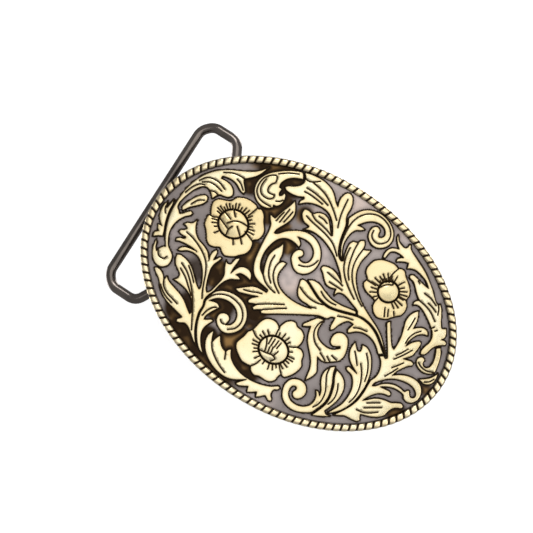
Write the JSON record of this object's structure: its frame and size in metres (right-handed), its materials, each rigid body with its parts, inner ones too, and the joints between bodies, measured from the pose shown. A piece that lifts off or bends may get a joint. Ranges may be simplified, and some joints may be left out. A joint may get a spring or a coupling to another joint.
{
  "type": "belt buckle",
  "caption": "Oval western dress buckle: bowed plate, rope border, scroll and flower overlays, hinged wire strap loop and back hook.",
  "frame": {"origin": "centre of the plate's back, on its flat middle strip", "axes": "+X along the oval away from the strap loop, -Y out of the decorated front, +Z across the oval"},
  "size_m": [0.0883, 0.015, 0.0614],
  "materials": {
    "antique_silver": "antiqued, satin",
    "brass_gold": "polished high points over dark recesses",
    "dark_nickel": "worn black nickel"
  },
  "bodies": {
    "plate": {"base_plate": "antique_silver", "rope_border": "brass_gold", "rim_leaf_left": "brass_gold", "bud_left": "brass_gold", "rim_strip_left": "brass_gold", "scroll_upper_left": "brass_gold", "main_stem": "brass_gold", "scroll_top": "brass_gold", "leaf_centre_upper": "brass_gold", "centre_vine": "brass_gold", "comma_scroll": "brass_gold", "scroll_lower_right": "brass_gold", "leaf_lower_right": "brass_gold", "leaf_right_large": "brass_gold", "right_stem": "brass_gold", "leaf_rim_lower_right": "brass_gold", "hook_curl_right": "brass_gold", "rim_leaf_right": "brass_gold", "left_vine": "brass_gold", "scroll_lower_left": "brass_gold", "rim_leaf_bottom": "brass_gold", "flower_left": "brass_gold", "flower_left_boss": "brass_gold", "flower_bottom": "brass_gold", "flower_bottom_boss": "brass_gold", "flower_right": "brass_gold", "flower_right_boss": "brass_gold", "hinge_barrel": "dark_nickel", "hook": "dark_nickel"},
    "strap_loop": {"loop": "dark_nickel"}
  },
  "joints": [
    {"name": "loop_swing", "type": "hinge", "parent": "plate", "child": "strap_loop", "pos_m": [-0.027, 0.00522, 0], "axis": [0, 0, -1], "range_deg": [-8, 140]}
  ]
}
